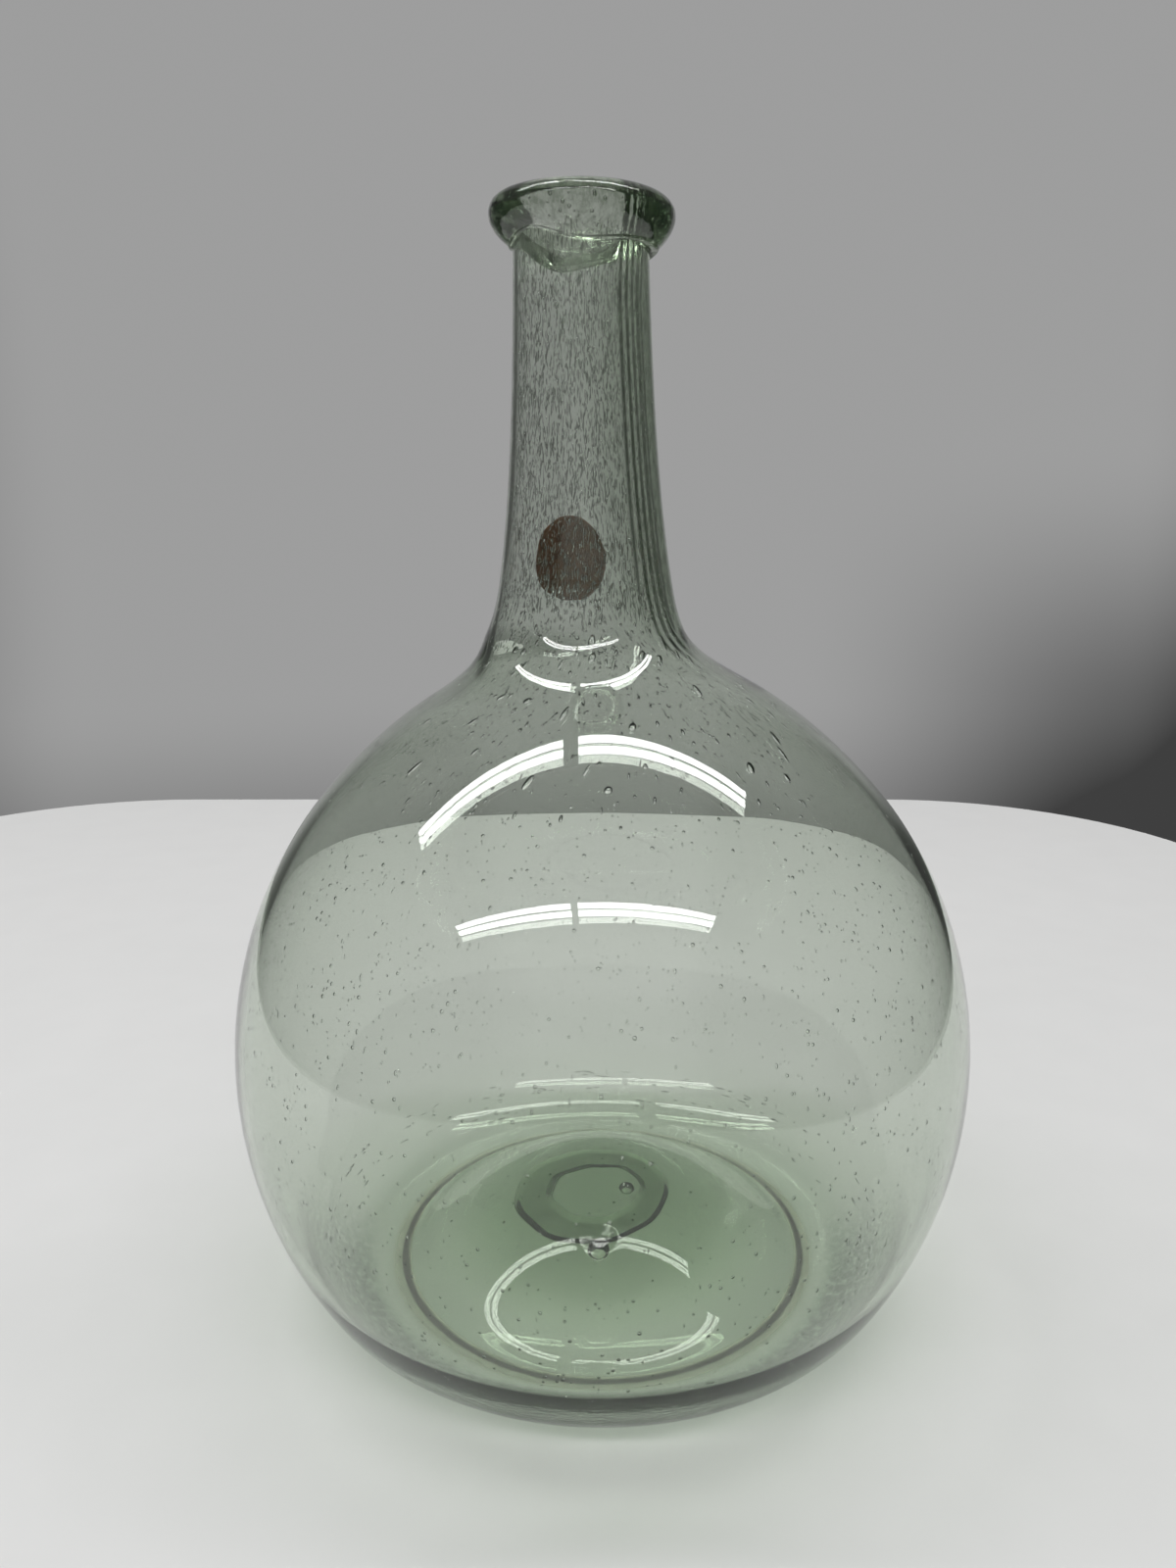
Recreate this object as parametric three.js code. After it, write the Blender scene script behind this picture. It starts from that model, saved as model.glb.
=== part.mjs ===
// Free-blown globular bottle: a hollow glass globe with a thick pushed-up base and a long neck
// that stands a little off centre, a ring of glass laid on round the mouth, the scar that
// the pontil rod left under the base, and a small oval paper sticker on the back of the neck.
// Millimetres, +Z up. The bottle stands on z = 0 and the globe's axis is x = 0, y = 0.

import * as THREE from "three";

// Globe, an ellipse turned about the axis
const GLOBE_RADIUS = 96.5;
const GLOBE_HALF_HEIGHT = 102;
const GLOBE_WALL = 2.4;

// Heel, the round turn from the globe to the table. The wall thickens down to it, and it is
// thickest where it meets the base
const HEEL_LATITUDE = -31.7;
const HEEL_RADIUS = 29.6;
const HEEL_THICKNESS = 5;
const HEEL_WALL = 3.1;
const HEEL_THICKENING = 11;

// Base, pushed up in the middle so that it stands on a worn ring. Inside it is a hump, thickest
// in the middle, with a rounded top and steeper sides
const REST_WIDTH = 2;
const KICK_HEIGHT = 12;
const KICK_TOP_REACH = 40;
const KICK_FOOT_REACH = 5;
const BASE_THICKNESS = 15;
const HUMP_TOP_REACH = 34;
const HUMP_FOOT_REACH = 14;

// Shoulder, which leaves the globe at a latitude and rises to the neck's foot
const SHOULDER_LATITUDE = 43.9;
const SHOULDER_RISE = 49.6;
const SHOULDER_SWEEP = 43.8;
const SHOULDER_FILLET = 27.4;

// Neck, slightly conical. The wall thickens from below the shoulder to above the neck's foot, and
// it is thin again at the mouth. The bore stands a little off the neck's middle, towards -X
const NECK_FOOT_RADIUS = 21.8;
const NECK_FOOT_SPLAY = 9.5;
const NECK_FOOT_SWEEP = 31;
const NECK_LENGTH = 90.3;
const NECK_TOP_RADIUS = 15.8;
const NECK_TOP_SPLAY = 1.7;
const NECK_TOP_SWEEP = 14;
const NECK_WALL = 3.2;
const THICKENING_BELOW_FOOT = 93;
const THICKENING_ABOVE_FOOT = 16;
const MOUTH_WALL = 2;
const MOUTH_FLARE = 26;
const RIM_ROUND = 1.2;
const BORE_SHIFT = 1.4;
const BORE_SHIFT_SPAN = 30;
const BORE_SHIFT_AT_MOUTH = 0.6;

// Lean: the neck stands off the globe's axis, towards -X, and tilts the same way
const NECK_SHIFT = 4.2;
const NECK_SHIFT_SPAN = 16.3;
const NECK_SHIFT_DROP = 10.6;
const NECK_TILT = 0.65;

// Lip, the ring laid on round the mouth: a rounded top, a crease and a skirt with a wavy edge
const LIP_RADIUS = 22;
const LIP_CREASE_DROP = 4.6;
const LIP_TOP_RISE = 2.2;
const LIP_TOP_REACH = 5;
const LIP_SKIRT = 8;
const LIP_SKIRT_BULGE = 3.4;
const LIP_FOOT_THICKNESS = 1.8;
const LIP_WAVE = 0.9;
const LIP_SWELL = 0.9;
const LIP_CLEARANCE = 0.3;

// Pontil scar, a thin broken ring of glass under the base, a little to the side that the neck
// leans to. Its hole stands off its middle the other way
const SCAR_RADIUS = 19;
const SCAR_WIDTH = 9;
const SCAR_DEPTH = 0.6;
const SCAR_BEVEL = 2;
const SCAR_DRIFT = 1.2;
const SCAR_OFFSET = 2.8;
const SCAR_RAGGED_EDGE = 0.9;
const SCAR_CLEARANCE = 0.3;

// Sticker, an oval of paper
const STICKER_WIDTH = 21.5;
const STICKER_HEIGHT = 22.8;
const STICKER_THICKNESS = 0.3;
const STICKER_CLEARANCE = 0.3;
const STICKER_ABOVE_FOOT = 6;
const STICKER_TURN = 8.5;

// Faceting
const SIDES = 48;
const STICKER_SIDES = 32;

const point = (radius, height) => new THREE.Vector2(radius, height);
const direction = (degrees) => {
  const angle = THREE.MathUtils.degToRad(degrees);
  return point(Math.cos(angle), Math.sin(angle));
};

// Curves, each returned as steps + 1 points from its start to its end
function arc(centre, radius, fromDegrees, toDegrees, steps) {
  return Array.from({ length: steps + 1 }, (_, i) => {
    const turn = THREE.MathUtils.lerp(fromDegrees, toDegrees, i / steps);
    return centre.clone().addScaledVector(direction(turn), radius);
  });
}

function sweep(start, startHandle, endHandle, end, steps) {
  return new THREE.CubicBezierCurve(start, startHandle, endHandle, end).getPoints(steps);
}

// An S from a level crown on the axis down to a level rim
function dome(crownHeight, crownReach, rim, rimReach, steps) {
  const crown = point(0, crownHeight);
  return sweep(crown, point(crownReach, crownHeight), point(rim.x - rimReach, rim.y), rim, steps);
}

// Globe ellipse, centred on its own middle
function onEllipse(degrees) {
  const unit = direction(degrees);
  return point(GLOBE_RADIUS * unit.x, GLOBE_HALF_HEIGHT * unit.y);
}

function ellipseNormal(degrees) {
  const unit = direction(degrees);
  return point(unit.x / GLOBE_RADIUS, unit.y / GLOBE_HALF_HEIGHT).normalize();
}

// The globe's middle is as high as the heel arc needs to touch both the globe and the table
const heelNormal = ellipseNormal(HEEL_LATITUDE);
const heelTop = HEEL_RADIUS * (1 + heelNormal.y);
const globeMiddle = heelTop - onEllipse(HEEL_LATITUDE).y;
const onGlobe = (degrees) => onEllipse(degrees).add(point(0, globeMiddle));

const shoulderStart = onGlobe(SHOULDER_LATITUDE);
const neckFoot = point(NECK_FOOT_RADIUS, shoulderStart.y + SHOULDER_RISE);
const mouthHeight = neckFoot.y + NECK_LENGTH;

// Straight-line look-up in an outline
function lookUp(outline, from, to, value) {
  const last = outline.length - 1;
  const found = outline.findIndex((_, i) =>
    i < last && (outline[i][from] - value) * (outline[i + 1][from] - value) <= 0);
  const i = found < 0 ? last - 1 : found;
  const share = (value - outline[i][from]) / (outline[i + 1][from] - outline[i][from]);
  return THREE.MathUtils.lerp(outline[i][to], outline[i + 1][to], share);
}

// The mouth's rounded top, from the lip's crease in to the crest, shared by the lip and the neck
const lipCrease = point(LIP_RADIUS, mouthHeight - LIP_CREASE_DROP);
const crest = point(NECK_TOP_RADIUS - MOUTH_WALL + RIM_ROUND, mouthHeight);
const mouthTop = sweep(
  lipCrease,
  point(lipCrease.x, lipCrease.y + LIP_TOP_RISE),
  point(crest.x + LIP_TOP_REACH, crest.y),
  crest,
  9,
);
const mouthTopAt = (radius) => lookUp(mouthTop, "x", "y", radius);
const neckTop = point(NECK_TOP_RADIUS, mouthTopAt(NECK_TOP_RADIUS));

// Outside of the wall from the heel to the mouth's top
function outerWall() {
  const latitudes = [[HEEL_LATITUDE, 0, 7], [0, SHOULDER_LATITUDE, 10]];
  const globe = latitudes.flatMap(([from, to, steps]) =>
    Array.from({ length: steps }, (_, i) => onGlobe(THREE.MathUtils.lerp(from, to, i / steps))));
  const up = point(0, 1);
  const origin = point(0, 0);
  const outward = ellipseNormal(SHOULDER_LATITUDE);
  const alongGlobe = point(-outward.y, outward.x);
  const footSlope = up.clone().rotateAround(origin, THREE.MathUtils.degToRad(NECK_FOOT_SPLAY));
  const topSlope = up.clone().rotateAround(origin, THREE.MathUtils.degToRad(NECK_TOP_SPLAY));
  const shoulder = sweep(
    shoulderStart,
    shoulderStart.clone().addScaledVector(alongGlobe, SHOULDER_SWEEP),
    neckFoot.clone().addScaledVector(footSlope, -SHOULDER_FILLET),
    neckFoot,
    10,
  );
  const neck = sweep(
    neckFoot,
    neckFoot.clone().addScaledVector(footSlope, NECK_FOOT_SWEEP),
    neckTop.clone().addScaledVector(topSlope, -NECK_TOP_SWEEP),
    neckTop,
    9,
  );
  return [...globe, ...shoulder.slice(0, -1), ...neck];
}

// 0 below the mouth's flare and 1 at the mouth
const atMouth = (height) =>
  THREE.MathUtils.smoothstep(height, mouthHeight - MOUTH_FLARE, mouthHeight);

// Thickness of the wall at a height
function wallAt(height) {
  const inHeel = 1 - THREE.MathUtils.smoothstep(height, heelTop, heelTop + HEEL_THICKENING);
  const neckStart = neckFoot.y - THICKENING_BELOW_FOOT;
  const neckEnd = neckFoot.y + THICKENING_ABOVE_FOOT;
  const inNeck = THREE.MathUtils.smoothstep(height, neckStart, neckEnd);
  const wall = THREE.MathUtils.lerp(GLOBE_WALL, NECK_WALL, inNeck)
    + (HEEL_WALL - GLOBE_WALL) * inHeel;
  return THREE.MathUtils.lerp(wall, MOUTH_WALL, atMouth(height));
}

// Inside of the wall, up to where the rim's rounding starts: the outside moved in square to
// itself by the wall's thickness
function innerWall(outer) {
  return outer.slice(0, -1).map((here, i) => {
    const along = outer[i + 1].clone().sub(outer[Math.max(i - 1, 0)]).normalize();
    const normal = i === 0 ? heelNormal : point(along.y, -along.x);
    return here.clone().addScaledVector(normal, -wallAt(here.y));
  });
}

// The arc that turns a wall, from its lowest point, down to a level rim
function heel(start, rimHeight, steps) {
  const radius = (start.y - rimHeight) / (1 + heelNormal.y);
  const centre = start.clone().addScaledVector(heelNormal, -radius);
  const startDegrees = THREE.MathUtils.radToDeg(heelNormal.angle()) - 360;
  return arc(centre, radius, -90, startDegrees, steps);
}

const outside = outerWall();
const inside = innerWall(outside);
const heelOutside = heel(outside[0], 0, 6);
const heelInside = heel(inside[0], HEEL_THICKNESS, 6);
const restInnerEdge = point(heelOutside[0].x - REST_WIDTH, 0);
const underside = dome(KICK_HEIGHT, KICK_TOP_REACH, restInnerEdge, KICK_FOOT_REACH, 8);
const humpHeight = KICK_HEIGHT + BASE_THICKNESS;
const floor = dome(humpHeight, HUMP_TOP_REACH, heelInside[0], HUMP_FOOT_REACH, 9);

const wallRadiusAt = (height) => lookUp(outside, "y", "x", height);
const undersideAt = (radius) => lookUp(underside, "x", "y", radius);

// The mouth's top from the neck's outside to the crest, and the rounding down into the bore
function rim() {
  const top = mouthTop.filter((place) => place.x < NECK_TOP_RADIUS && place.x > crest.x);
  const rounding = arc(point(crest.x, crest.y - RIM_ROUND), RIM_ROUND, 90, 180, 4);
  return [...top, ...rounding];
}

// How far the wall stands off the globe's axis at a height
function leanAt(height) {
  const high = neckFoot.y - NECK_SHIFT_DROP;
  const shift = NECK_SHIFT * THREE.MathUtils.smoothstep(height, high - NECK_SHIFT_SPAN, high);
  const tilt = Math.tan(THREE.MathUtils.degToRad(NECK_TILT)) * Math.max(0, height - neckFoot.y);
  return -(shift + tilt);
}

// How far the bore stands off the neck's middle at a height, towards -X
function boreShiftAt(height) {
  const inNeck = THREE.MathUtils.smoothstep(height, neckFoot.y - BORE_SHIFT_SPAN, neckFoot.y);
  return THREE.MathUtils.lerp(BORE_SHIFT * inNeck, BORE_SHIFT_AT_MOUTH, atMouth(height));
}

// Moves every vertex of a geometry to where place(vertex) puts it
function reshape(geometry, place) {
  const positions = geometry.getAttribute("position");
  const vertex = new THREE.Vector3();
  for (let i = 0; i < positions.count; i += 1) {
    vertex.fromBufferAttribute(positions, i);
    place(vertex);
    positions.setXYZ(i, vertex.x, vertex.y, vertex.z);
  }
  geometry.computeVertexNormals();
  return geometry;
}

// A profile of radius and height turned about +Z
function turned(profile, sides = SIDES) {
  return new THREE.LatheGeometry(profile, sides).rotateX(Math.PI / 2);
}

const lean = (vertex) => {
  vertex.x += leanAt(vertex.z);
};

function bottleBody() {
  const profile = [
    ...underside,
    ...heelOutside.slice(0, -1),
    ...outside,
    ...rim(),
    ...inside.toReversed(),
    ...heelInside.slice(1, -1).toReversed(),
    ...floor.toReversed(),
  ];
  return reshape(turned(profile), (vertex) => {
    const radius = Math.hypot(vertex.x, vertex.y);
    const depth = (wallRadiusAt(vertex.z) - radius) / wallAt(vertex.z);
    vertex.x -= boreShiftAt(vertex.z) * THREE.MathUtils.clamp(depth, 0, 1);
    lean(vertex);
  });
}

// How far the lip's uneven lower edge hangs below its mean height at a bearing
function lipEdge(bearing) {
  const waves = [[1, 1.5, -2.6], [2, 1, 1.15], [3, 0.3, 1.3], [4, 0.65, -2.3], [5, 0.5, 0.7]];
  const wave = ([count, share, start]) => share * Math.sin(count * bearing + start);
  return -LIP_WAVE * waves.reduce((sum, each) => sum + wave(each), 0);
}

function appliedLip() {
  const foot = lipCrease.y - LIP_SKIRT;
  const footRound = LIP_FOOT_THICKNESS / 2;
  const bore = (height) => wallRadiusAt(height) + LIP_CLEARANCE;
  const boreTop = point(bore(neckTop.y), mouthTopAt(bore(neckTop.y)));
  const footMiddle = point(bore(foot) + footRound, foot + footRound);
  const footOutside = footMiddle.clone().add(point(footRound, 0));
  const skirt = sweep(
    footOutside,
    footOutside.clone().add(point(LIP_SKIRT_BULGE / 2, LIP_SKIRT_BULGE / 2)),
    lipCrease.clone().sub(point(0, LIP_SKIRT_BULGE)),
    lipCrease,
    6,
  );
  const profile = [
    boreTop,
    point(bore(lipCrease.y), lipCrease.y),
    ...arc(footMiddle, footRound, 180, 360, 4),
    ...skirt.slice(1, -1),
    ...mouthTop.filter((place) => place.x > boreTop.x),
    boreTop,
  ];
  return reshape(turned(profile), (vertex) => {
    const bearing = Math.atan2(vertex.y, vertex.x);
    const radius = Math.hypot(vertex.x, vertex.y);
    const drop = THREE.MathUtils.clamp((lipCrease.y - vertex.z) / LIP_SKIRT, 0, 1);
    const proud = THREE.MathUtils.smoothstep(radius, bore(foot), footOutside.x);
    const above = THREE.MathUtils.smoothstep(vertex.z, lipCrease.y, mouthHeight);
    const swell = LIP_SWELL * proud * Math.cos(bearing) * (0.4 * (1 - above) + 0.4 * drop);
    vertex.set(
      (radius + swell) * Math.cos(bearing),
      (radius + swell) * Math.sin(bearing),
      vertex.z - drop * lipEdge(bearing),
    );
    lean(vertex);
  });
}

// The ring's profile gives its depth below the underside of the base, which it follows
function pontilScar() {
  const inner = SCAR_RADIUS - SCAR_WIDTH;
  const middle = SCAR_RADIUS - SCAR_WIDTH / 2;
  const section = [
    point(inner, 0),
    point(inner + SCAR_BEVEL / 2, -SCAR_DEPTH / 2),
    point(inner + SCAR_BEVEL, -SCAR_DEPTH),
    point(SCAR_RADIUS - SCAR_BEVEL, -SCAR_DEPTH),
    point(SCAR_RADIUS - SCAR_BEVEL / 2, -SCAR_DEPTH / 2),
    point(SCAR_RADIUS, 0),
    point(middle, 0),
  ];
  return reshape(turned([...section, section[0]]), (vertex) => {
    const bearing = Math.atan2(vertex.y, vertex.x);
    const ragged = SCAR_RAGGED_EDGE * (Math.sin(2 * bearing + 1) + 0.5 * Math.sin(3 * bearing)
      + 0.25 * Math.sin(8 * bearing));
    const radius = Math.hypot(vertex.x, vertex.y) + ragged;
    const inward = (SCAR_RADIUS - radius) / SCAR_WIDTH;
    vertex.x = radius * Math.cos(bearing) - SCAR_OFFSET + SCAR_DRIFT * inward;
    vertex.y = radius * Math.sin(bearing);
    vertex.z += undersideAt(Math.hypot(vertex.x, vertex.y)) - SCAR_CLEARANCE;
  });
}

// A disc whose plane is wrapped round the back of the neck and whose thickness points outward
function neckSticker() {
  const rings = [0, 0.25, 0.5, 0.75, 1];
  const profile = [
    ...rings.map((share) => point(share, 0)),
    ...rings.toReversed().map((share) => point(share, STICKER_THICKNESS)),
  ];
  const middle = neckFoot.y + STICKER_ABOVE_FOOT;
  const wrapRadius = wallRadiusAt(middle) + STICKER_CLEARANCE;
  const turn = THREE.MathUtils.degToRad(STICKER_TURN);
  return reshape(turned(profile, STICKER_SIDES), (vertex) => {
    const height = middle + vertex.y * STICKER_HEIGHT / 2;
    const bearing = -vertex.x * STICKER_WIDTH / 2 / wrapRadius - turn;
    const radius = wallRadiusAt(height) + STICKER_CLEARANCE + vertex.z;
    vertex.set(radius * Math.sin(bearing), radius * Math.cos(bearing), height);
    lean(vertex);
  });
}

const greenGlass = { roughness: 0.04, metalness: 0, transparent: true, opacity: 0.45 };
const pieces = [
  ["bottle_body", bottleBody(), { ...greenGlass, color: 0xa7b3a4 }],
  ["applied_lip", appliedLip(), { ...greenGlass, color: 0x8fa385 }],
  ["pontil_scar", pontilScar(), { ...greenGlass, color: 0x7d9673, roughness: 0.3 }],
  ["neck_sticker", neckSticker(), { color: 0x5c4a3f, roughness: 0.9, metalness: 0 }],
];

const bottle = new THREE.Group();
for (const [name, geometry, finish] of pieces) {
  const mesh = new THREE.Mesh(geometry, new THREE.MeshStandardMaterial(finish));
  mesh.name = name;
  bottle.add(mesh);
}

export default bottle;
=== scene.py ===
# Free-blown globular bottle in pale green seedy glass, on a pale table under two rows of tube
# lamps. Metres, +Z up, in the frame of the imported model, with the globe's axis at x = 0, y = 0.

import math

import bpy
import numpy as np
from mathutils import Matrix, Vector, noise


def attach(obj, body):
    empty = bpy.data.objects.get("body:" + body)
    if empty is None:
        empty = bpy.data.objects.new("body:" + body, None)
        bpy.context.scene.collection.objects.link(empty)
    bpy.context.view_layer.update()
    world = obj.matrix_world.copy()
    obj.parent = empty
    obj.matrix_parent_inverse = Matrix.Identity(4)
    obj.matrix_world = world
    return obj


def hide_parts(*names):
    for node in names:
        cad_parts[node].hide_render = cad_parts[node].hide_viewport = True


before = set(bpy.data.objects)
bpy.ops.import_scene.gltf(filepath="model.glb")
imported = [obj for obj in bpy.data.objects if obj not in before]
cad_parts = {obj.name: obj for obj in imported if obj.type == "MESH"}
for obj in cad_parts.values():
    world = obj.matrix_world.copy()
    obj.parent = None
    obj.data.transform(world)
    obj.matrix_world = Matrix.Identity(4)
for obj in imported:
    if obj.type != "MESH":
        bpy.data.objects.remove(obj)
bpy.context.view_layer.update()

# Globe, an ellipse turned about the axis
GLOBE_RADIUS = 0.0965
GLOBE_HALF_HEIGHT = 0.102
GLOBE_WALL = 0.0024

# Heel and base
HEEL_LATITUDE = -31.7
HEEL_RADIUS = 0.0296
HEEL_THICKNESS = 0.005
HEEL_WALL = 0.0031
HEEL_THICKENING = 0.011
REST_WIDTH = 0.002
KICK_HEIGHT = 0.012
KICK_TOP_REACH = 0.04
KICK_FOOT_REACH = 0.005
BASE_THICKNESS = 0.015
HUMP_TOP_REACH = 0.034
HUMP_FOOT_REACH = 0.014

# Shoulder
SHOULDER_LATITUDE = 43.9
SHOULDER_RISE = 0.0496
SHOULDER_SWEEP = 0.0438
SHOULDER_FILLET = 0.0274

# Neck
NECK_FOOT_RADIUS = 0.0218
NECK_FOOT_SPLAY = 9.5
NECK_FOOT_SWEEP = 0.031
NECK_LENGTH = 0.0903
NECK_TOP_RADIUS = 0.0158
NECK_TOP_SPLAY = 1.7
NECK_TOP_SWEEP = 0.014
NECK_WALL = 0.0032
THICKENING_BELOW_FOOT = 0.093
THICKENING_ABOVE_FOOT = 0.016
MOUTH_WALL = 0.002
MOUTH_FLARE = 0.026
BORE_SHIFT = 0.0014
BORE_SHIFT_SPAN = 0.03
BORE_SHIFT_AT_MOUTH = 0.0006
RIM_ROUND = 0.0012
NECK_SHIFT = 0.0042
NECK_SHIFT_SPAN = 0.0163
NECK_SHIFT_DROP = 0.0106
NECK_TILT = 0.65

# Upright folds on the inside of the neck, with bearing in degrees and depth, and the waves that
# the blowing left on the inside of the whole wall and the fine cords that it left in the neck
NECK_FOLDS = ((318, 0.0002), (326, 0.00035), (333, 0.0003), (341, 0.00025))
NECK_FOLD_SPREAD = 0.045
SLOW_WAVE_DEPTH = 0.0001
SLOW_WAVE_SPAN = 0.03
CORD_DEPTH = 0.00007
CORD_SPAN = 0.004
CORDS_START_BELOW_FOOT = 0.03
CORDS_FULL_ABOVE_FOOT = 0.01

# Lip
LIP_RADIUS = 0.022
LIP_CREASE_DROP = 0.0046
LIP_TOP_RISE = 0.0022
LIP_TOP_REACH = 0.005
LIP_SKIRT = 0.008
LIP_SKIRT_BULGE = 0.0034
LIP_FOOT_THICKNESS = 0.0018
LIP_WAVE = 0.0009
LIP_SWELL = 0.0009
LIP_SWELL_SHARE = 0.4
LIP_WINDING_DEPTH = 0.00012
LIP_WINDING_SPAN = 0.0016

# Pontil scar
SCAR_RADIUS = 0.019
SCAR_WIDTH = 0.009
SCAR_DEPTH = 0.0006
SCAR_BEVEL = 0.002
SCAR_DRIFT = 0.0012
SCAR_OFFSET = 0.0028
SCAR_RAGGED_EDGE = 0.0009
SCAR_FREE_EDGE = 0.0001
SCAR_BROKEN_SHARE = 0.15
SCAR_BROKEN_SPAN = 0.006

# Sticker
STICKER_WIDTH = 0.0215
STICKER_HEIGHT = 0.0228
STICKER_THICKNESS = 0.0003
STICKER_ABOVE_FOOT = 0.006
STICKER_TURN = 8.5
STICKER_FRAYING = 0.03

# Where two pieces are fused they all but touch
FUSED_GAP = 0.00001

# Seeds in the base and the lip, and the two large bubbles in the base with x, y and radius
BASE_SEEDS = 130
BASE_SEED_WIDTH = (0.00025, 0.0008)
BASE_BUBBLES = ((-0.0012, -0.0275, 0.0028), (0.0064, -0.0086, 0.0021))
LIP_SEEDS = 170
LIP_SEED_WIDTH = (0.00025, 0.0009)
LIP_SEEDS_ABOVE_FOOT = 0.0028
LIP_SEEDS_BELOW_TOP = 0.0022
LIP_SEEDS_DRAW_IN = 0.0035

# Seeds in the wall: how much of the wall they fill at most, how far they keep from its faces as a
# share of their own depth, how far they tilt in radians, and the heights of their bands
SEED_DEPTH_IN_WALL = 0.4
SEED_INSET = 1.15
SEED_TILT = 0.1
NECK_SEEDS_START = 0.182
NECK_SEEDS_MIDDLE = 0.2265
NECK_SEEDS_BELOW_MOUTH = 0.008
GLOBE_SEED_BANDS = (0.022, 0.085, 0.148)

# Fineness of the glass and the sticker
SIDES = 224
GLOBE_STEPS = 60
SHOULDER_STEPS = 36
NECK_STEPS = 36
LIP_EDGE_STEPS = 22
MOUTH_STEPS = 8
CURVE_STEPS = 400
LIP_EDGE_MARGIN = (0.003, 0.004)
SCAR_SIDES = 160
SCAR_TOP_STEPS = 8
SCAR_FACE_STEPS = 40
STICKER_SIDES = 96
STICKER_RINGS = 12


def lerp(start, end, share):
    return start + (end - start) * share


def smoothstep(low, high, value):
    share = np.clip((value - low) / (high - low), 0, 1)
    return share * share * (3 - 2 * share)


def direction(degrees):
    angle = np.radians(degrees)
    return np.stack([np.cos(angle), np.sin(angle)], axis=-1)


def arc(centre, radius, start, end, steps):
    return np.asarray(centre) + radius * direction(np.linspace(start, end, steps + 1))


def sweep(start, start_handle, end_handle, end, steps):
    """A cubic curve through start and end, as steps + 1 points."""
    share = np.linspace(0, 1, steps + 1)[:, None]
    rest = 1 - share
    return (rest**3 * np.asarray(start) + 3 * rest**2 * share * np.asarray(start_handle)
            + 3 * rest * share**2 * np.asarray(end_handle) + share**3 * np.asarray(end))


def dome(crown_height, crown_reach, rim, rim_reach, steps):
    """An S from a level crown on the axis down to a level rim."""
    crown = (0, crown_height)
    return sweep(crown, (crown_reach, crown_height), (rim[0] - rim_reach, rim[1]), rim, steps)


# The globe's ellipse and the heel that touches both it and the table
def on_ellipse(degrees):
    return direction(degrees) * (GLOBE_RADIUS, GLOBE_HALF_HEIGHT)


def ellipse_normal(degrees):
    normal = direction(degrees) / (GLOBE_RADIUS, GLOBE_HALF_HEIGHT)
    return normal / np.linalg.norm(normal)


heel_normal = ellipse_normal(HEEL_LATITUDE)
heel_top = HEEL_RADIUS * (1 + heel_normal[1])
globe_middle = heel_top - on_ellipse(HEEL_LATITUDE)[1]
shoulder_start = on_ellipse(SHOULDER_LATITUDE) + (0, globe_middle)
neck_foot = np.array([NECK_FOOT_RADIUS, shoulder_start[1] + SHOULDER_RISE])
mouth_height = neck_foot[1] + NECK_LENGTH

# The mouth's rounded top, from the lip's crease in to the crest
lip_crease = np.array([LIP_RADIUS, mouth_height - LIP_CREASE_DROP])
lip_foot = lip_crease[1] - LIP_SKIRT
crest = np.array([NECK_TOP_RADIUS - MOUTH_WALL + RIM_ROUND, mouth_height])
mouth_top = sweep(lip_crease, lip_crease + (0, LIP_TOP_RISE), crest + (LIP_TOP_REACH, 0), crest, 40)


def mouth_top_at(radius):
    return np.interp(radius, mouth_top[::-1, 0], mouth_top[::-1, 1])


def outer_wall():
    """The outside from the heel's top to the mouth's top, with fine rows where the lip's edge lies."""
    latitudes = np.linspace(HEEL_LATITUDE, SHOULDER_LATITUDE, GLOBE_STEPS + 1)
    globe = on_ellipse(latitudes) + (0, globe_middle)
    outward = ellipse_normal(SHOULDER_LATITUDE)
    along_globe = np.array([-outward[1], outward[0]])
    foot_slope = direction(90 + NECK_FOOT_SPLAY)
    top_slope = direction(90 + NECK_TOP_SPLAY)
    neck_top = np.array([NECK_TOP_RADIUS, mouth_top_at(NECK_TOP_RADIUS)])
    shoulder = sweep(shoulder_start, shoulder_start + SHOULDER_SWEEP * along_globe,
                     neck_foot - SHOULDER_FILLET * foot_slope, neck_foot, SHOULDER_STEPS)
    curve = sweep(neck_foot, neck_foot + NECK_FOOT_SWEEP * foot_slope,
                  neck_top - NECK_TOP_SWEEP * top_slope, neck_top, CURVE_STEPS)
    below, above = lip_foot - LIP_EDGE_MARGIN[0], lip_foot + LIP_EDGE_MARGIN[1]
    heights = np.concatenate([
        np.linspace(neck_foot[1], below, NECK_STEPS, endpoint=False),
        np.linspace(below, above, LIP_EDGE_STEPS, endpoint=False),
        np.linspace(above, neck_top[1], MOUTH_STEPS),
    ])
    neck = np.stack([np.interp(heights, curve[:, 1], curve[:, 0]), heights], axis=-1)
    return np.concatenate([globe[:-1], shoulder[:-1], neck])


def at_mouth(height):
    """0 below the mouth's flare and 1 at the mouth."""
    return smoothstep(mouth_height - MOUTH_FLARE, mouth_height, height)


def wall_thickness(height):
    neck_start, neck_end = neck_foot[1] - THICKENING_BELOW_FOOT, neck_foot[1] + THICKENING_ABOVE_FOOT
    in_neck = smoothstep(neck_start, neck_end, height)
    in_heel = 1 - smoothstep(heel_top, heel_top + HEEL_THICKENING, height)
    wall = lerp(GLOBE_WALL, NECK_WALL, in_neck) + (HEEL_WALL - GLOBE_WALL) * in_heel
    return lerp(wall, MOUTH_WALL, at_mouth(height))


def bore_shift_at(height):
    """How far the bore stands off the middle of the neck, towards -X."""
    shift = BORE_SHIFT * smoothstep(neck_foot[1] - BORE_SHIFT_SPAN, neck_foot[1], height)
    return lerp(shift, BORE_SHIFT_AT_MOUTH, at_mouth(height))


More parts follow.
